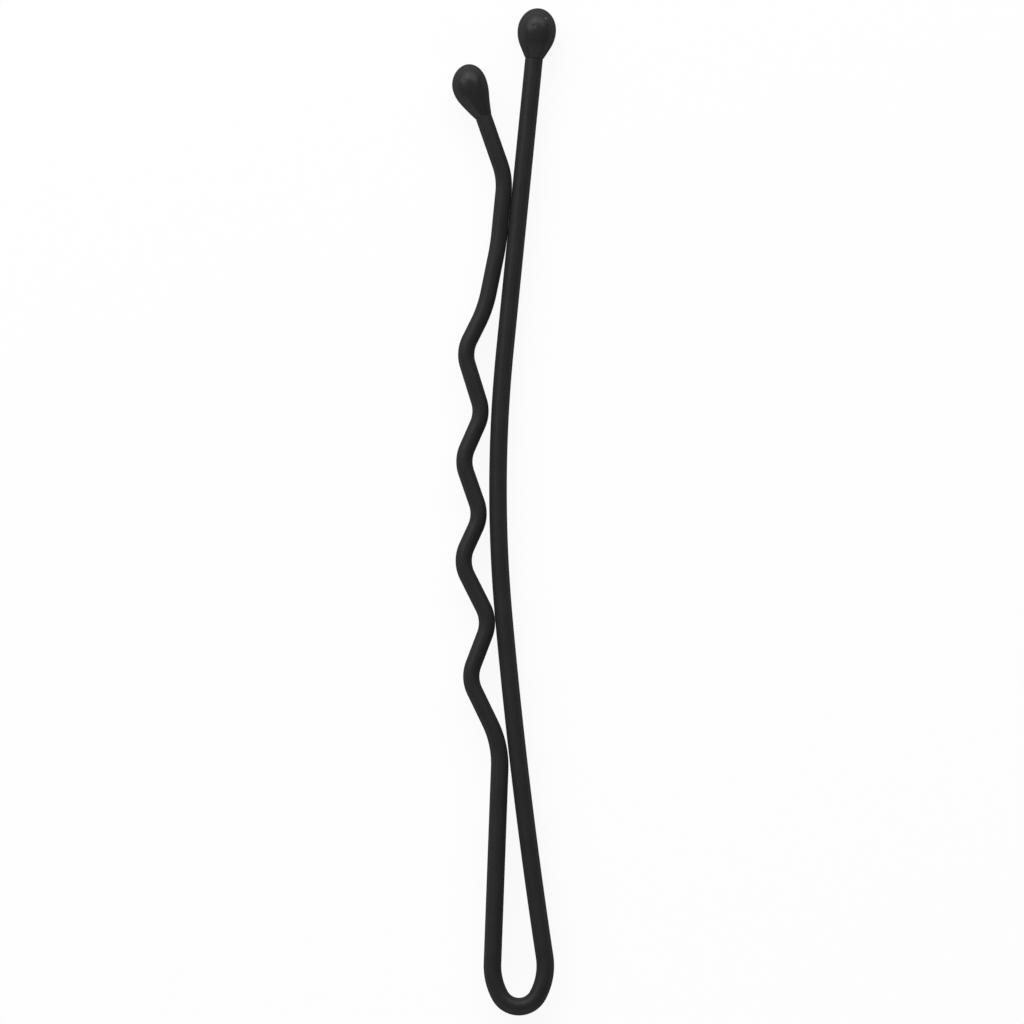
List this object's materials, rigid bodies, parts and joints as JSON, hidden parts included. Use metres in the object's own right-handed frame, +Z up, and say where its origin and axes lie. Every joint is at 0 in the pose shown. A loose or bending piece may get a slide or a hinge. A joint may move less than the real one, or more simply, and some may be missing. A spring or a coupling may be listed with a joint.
{
  "type": "bobby pin",
  "caption": "Round-wire bobby pin: a bowed straight leg and a crimped leg with a flared toe spring shut from a rounded bend, with a ball tip on each end.",
  "frame": {"origin": "on the table under the middle of the pin's box, with the pin lying flat on its ball tips", "axes": "+Y from the bend to the tips, +X from the crimped leg to the straight leg, +Z up, square to the plane of the wire"},
  "size_m": [0.0062, 0.06, 0.0023],
  "materials": {
    "black_enamel": "satin",
    "black_resin": "satin"
  },
  "bodies": {
    "straight_side": {"straight_leg": "black_enamel", "spring_bend": "black_enamel", "straight_leg_tip": "black_resin"},
    "crimped_side": {"crimped_leg": "black_enamel", "crimped_leg_tip": "black_resin"}
  },
  "joints": [
    {"name": "leg_opening", "type": "hinge", "parent": "straight_side", "child": "crimped_side", "pos_m": [0.00096, -0.02833, 0.00114], "axis": [0, 0, 1], "range_deg": [0, 12], "stiffness_Nm_per_rad": 0.26, "deforming": ["spring_bend"]}
  ]
}
